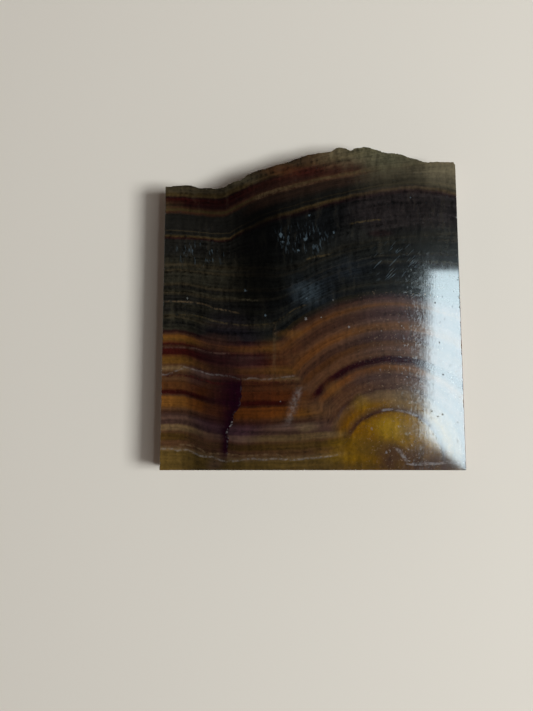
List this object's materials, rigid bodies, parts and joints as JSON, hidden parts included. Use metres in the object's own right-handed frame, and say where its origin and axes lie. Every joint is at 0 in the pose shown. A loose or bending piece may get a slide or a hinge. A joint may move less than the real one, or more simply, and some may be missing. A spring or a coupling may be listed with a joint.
{
  "type": "polished banded fluorite slab",
  "caption": "Flat slab of banded fluorite with a polished face, three sawn sides and one edge left as it grew, to lay out as a mineral specimen.",
  "frame": {"origin": "on the underside, below the middle of the bounding box", "axes": "+Z out of the polished face, +Y from the straight sawn edge towards the natural edge, +X to the right"},
  "size_m": [0.05, 0.0528, 0.007],
  "materials": {
    "fluorite": "banded translucent fluorite, polished on top, sawn on the sides, rough on the natural edge"
  },
  "bodies": {
    "root": {"fluorite_slab": "fluorite"}
  },
  "joints": []
}
